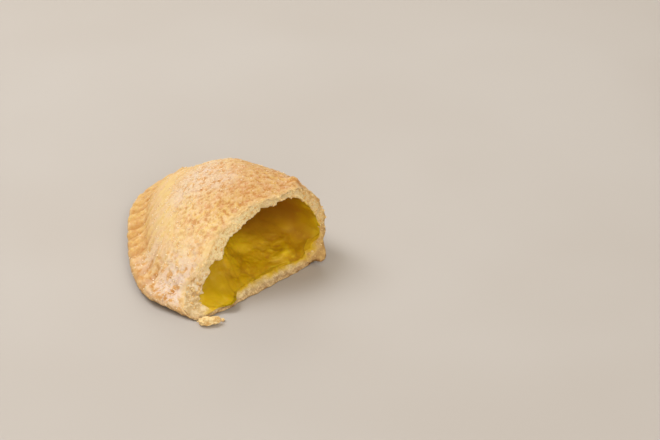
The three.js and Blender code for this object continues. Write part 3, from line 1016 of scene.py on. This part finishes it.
def tinted(tree, colour, *tints):
    """A colour with others laid over it, each by a mask and its strength."""
    for name, strength, tint in tints:
        colour = mix(tree, masked(tree, name, strength), colour, tint)
    return colour


def speckle(tree, size, detail=2.0, roughness=0.5):
    """Noise, about 0 to 1, with blotches about size millimetres across."""
    spot = add(tree, "ShaderNodeTexCoord").outputs["Object"]
    inputs = {"Vector": spot, "Scale": 1 / (size * MM), "Detail": detail, "Roughness": roughness}
    return add(tree, "ShaderNodeTexNoise", inputs).outputs["Fac"]


def bumped(tree, height, strength, distance):
    """A normal from a bump of so many millimetres."""
    inputs = {"Height": height, "Strength": strength, "Distance": distance * MM}
    return add(tree, "ShaderNodeBump", inputs).outputs["Normal"]


def new_material(name, shader):
    """A material, by a function that gives the inputs of its shader."""
    material = bpy.data.materials.new(name)
    material.use_nodes = True
    tree = material.node_tree
    tree.nodes.clear()
    surface = add(tree, "ShaderNodeBsdfPrincipled", shader(tree))
    add(tree, "ShaderNodeOutputMaterial", {"Surface": surface.outputs[0]})
    return material


# Materials, as the inputs of their shaders
def skin_colour(tree, pattern):
    """Golden dough with spots, crags painted darker in their hollows as shade and paler on their tops as
    light, and grains, browned on the pressed band and pale with sugar.
    """
    patches, crag, grains = pattern.patches, pattern.crag, pattern.grains
    rough = masked(tree, "rough")
    colour = mix(tree, between(tree, pattern.blotch, 0.36, 0.64), *DOUGH)
    colour = mix(tree, between(tree, pattern.mottle, 0.52, 0.8), colour, DOUGH_MOTTLE)
    spots = (
        (patches, 0.52, 0.64, 0.6, SPOT_YELLOW),
        (patches, 0.48, 0.36, 0.7, SPOT_PINK),
        # The crags get painted shade in their hollows and painted light on their tops
        (crag, 0.05, -0.6, 0.8, CRAG_HOLLOW_SHADE),
        (crag, 0.05, 0.6, 0.5, CRAG_TOP_LIGHT),
        (grains, 0.55, 0.72, 0.6, GRAIN_PALE),
        (grains, 0.45, 0.3, 0.6, GRAIN_DARK),
    )
    for field, start, full, strength, spot in spots:
        where = math_node(tree, "MULTIPLY", rough, between(tree, field, start, full))
        colour = mix(tree, math_node(tree, "MULTIPLY", where, strength), colour, spot)
    baked = mix(tree, between(tree, patches, 0.4, 0.6), *BAKED)
    browns = (("toast", 0.5, TOASTED), ("band", 0.5, baked), ("press", 0.6, CRIMP_BROWN))
    colour = tinted(tree, colour, *browns)
    sugared = math_node(tree, "MULTIPLY", masked(tree, "sugar"), between(tree, patches, 0.38, 0.56))
    colour = mix(tree, math_node(tree, "MULTIPLY", sugared, 0.85), colour, SUGARED)
    return tinted(tree, colour, ("pale", 0.6, SKIN_EDGE_PALE))


def crumb_colour(tree, pattern):
    """Pale crumb of the torn edge, with browned and flaky stretches; painted shade in the flakes' crevices,
    and a browner low flaky part near the table that is partly painted shade.
    """
    spotted = between(tree, pattern.mottle, 0.4, 0.6)
    colour = mix(tree, between(tree, pattern.grains, 0.35, 0.7), *PALE_CRUMB)
    # Flakes with painted shade in their crevices
    flakes = mix(tree, between(tree, pattern.crag, 0.0, -0.6), mix(tree, spotted, *FLAKY), FLAKY_CREVICE_SHADE)
    tints = (
        ("browned", 0.9, mix(tree, spotted, *BROWNED)),
        ("flaky", 0.85, flakes),
        # Browner low part near the table, partly painted shade
        ("flaky_low", 1, mix(tree, spotted, *LOW_CRUMB_AND_SHADE)),
        ("fold_side", 0.85, mix(tree, spotted, *FOLD_CRUMB)),
    )
    return tinted(tree, colour, *tints)


def crust_shader(tree):
    pattern = SimpleNamespace(
        blotch=speckle(tree, 5),
        patches=speckle(tree, 2.6, 2, 0.6),
        mottle=speckle(tree, 1.8, 3, 0.65),
        grains=speckle(tree, 0.6, 2, 0.6),
        crag=masked(tree, "crag"),
    )
    torn = masked(tree, "torn")
    base = mix(tree, between(tree, pattern.grains, 0.4, 0.6), *BASE)
    colour = tinted(tree, skin_colour(tree, pattern), ("under", 1, base))
    colour = mix(tree, torn, colour, crumb_colour(tree, pattern))
    colour = mix(tree, math_node(tree, "MULTIPLY", torn, masked(tree, "low", 0.6)), colour, base)
    tints = (
        # Painted shade low on the floor's torn edge and in the crease
        ("gap_shade", 0.5, GAP_SHADE),
        # Stained underside, partly painted shade
        ("inside", 1, mix(tree, between(tree, pattern.mottle, 0.35, 0.65), *CEILING_STAIN_AND_SHADE)),
        ("jam", 1, mix(tree, between(tree, pattern.mottle, 0.3, 0.7), *SOAKED)),
    )
    return {
        "Base Color": tinted(tree, colour, *tints),
        "Roughness": 0.75,
        "Subsurface Weight": 0.15,
        "Subsurface Radius": (1.0, 0.6, 0.3),
        "Subsurface Scale": 1.2 * MM,
        "Specular IOR Level": 0.25,
        "Normal": bumped(tree, math_node(tree, "ADD", pattern.grains, pattern.mottle), 0.5, 0.25),
    }


def filling_shader(tree):
    fleck = speckle(tree, 1.8, 3)
    strand = masked(tree, "fibre")
    colour = mix(tree, between(tree, speckle(tree, 7, 2), 0.35, 0.65), *JAM)
    colour = mix(tree, between(tree, fleck, 0.55, 0.8), colour, JAM_FLECK)
    colour = mix(tree, between(tree, strand, 0.05, 0.5), colour, STRAND_PALE)
    colour = mix(tree, between(tree, strand, -0.05, -0.5), colour, STRAND_DARK)
    tints = (
        # Painted shade in the creases
        ("crease", 0.45, JAM_CREASE_SHADE),
        # Bright fruit, partly painted light and a painted highlight
        ("fruit", 0.9, FRUIT_BRIGHT_AND_LIT),
        ("dull", 0.8, FRUIT_DULL),
        ("lemon", 0.6, FRUIT_LEMON),
        # Caramelised brown deep in the pocket, partly painted shade
        ("deep", 0.8, JAM_DEEP_BROWN_AND_SHADE),
        # Painted light along the fold wall
        ("lit_wall", 0.3, JAM_WALL_LIGHT),
    )
    return {
        "Base Color": tinted(tree, colour, *tints),
        "Roughness": math_node(tree, "ADD", masked(tree, "deep", 0.4), 0.42),
        "Subsurface Weight": 0.4,
        "Subsurface Radius": (1.0, 0.6, 0.05),
        "Subsurface Scale": 2.5 * MM,
        "Specular IOR Level": 0.16,
        "Normal": bumped(tree, fleck, 0.3, 0.4),
    }


def sugar_shader(tree):
    colour = mix(tree, between(tree, speckle(tree, 0.9), 0.3, 0.7), *CRYSTAL)
    normal = bumped(tree, speckle(tree, 0.2), 0.2, 0.05)
    return {"Base Color": colour, "Roughness": 0.3, "Specular IOR Level": 0.5, "Normal": normal}


def crumb_shader(tree):
    colour = mix(tree, between(tree, speckle(tree, 1.4, 3, 0.6), 0.4, 0.65), *LOOSE_CRUMB)
    normal = bumped(tree, speckle(tree, 0.6), 0.5, 0.2)
    return {"Base Color": colour, "Roughness": 0.8, "Specular IOR Level": 0.25, "Normal": normal}


def floor_shader(tree):
    colour = mix(tree, between(tree, speckle(tree, 120, 2), 0.3, 0.7), *STAGE_TONES)
    return {"Base Color": colour, "Roughness": 0.5}


# Stage, in metres and degrees
CAMERA_AZIMUTH = -50
CAMERA_ELEVATION = 29.5
CAMERA_DISTANCE = 0.9
LENS, SENSOR = 141.6, 36.0  # millimetres
PHOTO_WIDTH, PHOTO_HEIGHT = 660, 440
CORNER_ROW = 250  # of the fold's torn corner, in the photo's middle column
STAGE_SIZE = 6
ROOM_COLOUR = (1.0, 0.89, 0.73, 1)
ROOM_STRENGTH = 0.48

# Square lamps that face the part: azimuth, elevation, distance, size, watts and colour
LIGHTS = {
    "key": (-160, 58, 1.2, 0.7, 9.4, (1.0, 1.0, 1.0)),
    "fill": (-30, 30, 1.5, 1.0, 10, (1.0, 0.955, 0.88)),
    "back": (132, 18, 1.8, 1.2, 5, (1.0, 0.93, 0.83)),
}


def direction(azimuth, elevation):
    """Unit vector at these degrees, with the azimuth counted from the front."""
    azimuth, elevation = math.radians(azimuth), math.radians(elevation)
    flat = math.cos(elevation)
    return Vector((math.sin(azimuth) * flat, -math.cos(azimuth) * flat, math.sin(elevation)))


def aim_from(name, data, location, way):
    """A camera or lamp that faces this way."""
    thing = new_object(name, data)
    thing.location = location
    thing.rotation_mode = "QUATERNION"
    thing.rotation_quaternion = way.to_track_quat("-Z", "Y")
    return thing


def add_camera(corner):
    """The photo's view, with the fold's torn corner in its place."""
    back = direction(CAMERA_AZIMUTH, CAMERA_ELEVATION)
    pixel = CAMERA_DISTANCE * SENSOR / LENS / PHOTO_WIDTH
    up = back.to_track_quat("Z", "Y") @ Vector((0, 1, 0))
    aim = corner + up * (CORNER_ROW - PHOTO_HEIGHT / 2) * pixel
    data = bpy.data.cameras.new("camera")
    data.lens = LENS
    data.sensor_width = SENSOR
    location = corner + back * CAMERA_DISTANCE
    bpy.context.scene.camera = aim_from("camera", data, location, aim - location)


def add_light(name, azimuth, elevation, distance, size, watts, colour):
    data = bpy.data.lights.new(name, "AREA")
    data.size = size
    data.energy = watts
    data.color = colour
    back = direction(azimuth, elevation)
    aim_from(name, data, back * distance, -back)


def add_stage():
    bpy.ops.mesh.primitive_plane_add(size=STAGE_SIZE)
    floor = bpy.context.object
    floor.name = "floor"
    floor.data.materials.append(new_material("pale_floor", floor_shader))
    for name, lamp in LIGHTS.items():
        add_light(name, *lamp)
    world = bpy.data.worlds.new("soft_room")
    world.use_nodes = True
    background = world.node_tree.nodes["Background"]
    background.inputs["Color"].default_value = ROOM_COLOUR
    background.inputs["Strength"].default_value = ROOM_STRENGTH
    bpy.context.scene.world = world
    bpy.context.scene.view_settings.view_transform = "Standard"


# The object
draws = np.random.default_rng(SEED)
crust_points, crust_normals, masks_of_crust, sugar_density, torn_points = make_crust()
filling_points, masks_of_filling = make_filling()
OFFSET = frame_offset(crust_points)

crust = ring_piece("crust_baked", crust_points, masks_of_crust, OFFSET)
crust.data.materials.append(new_material("baked_crust", crust_shader))
filling = ring_piece("filling_fruit", filling_points, masks_of_filling, OFFSET)
filling.data.materials.append(new_material("fruit_filling", filling_shader))
sugar = make_sugar(draws, crust_points, crust_normals, sugar_density, OFFSET)
sugar.data.materials.append(new_material("sugar_crystal", sugar_shader))
crumbs = make_crumbs(draws, torn_points, OFFSET)
crumbs.data.materials.append(new_material("loose_crumb", crumb_shader))

for piece, slot in ((crust, "crust"), (filling, "filling"), (sugar, "crust"), (crumbs, "crust")):
    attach(piece, "root")
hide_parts("crust")
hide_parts("filling")

add_camera(Vector(OFFSET * MM))
add_stage()
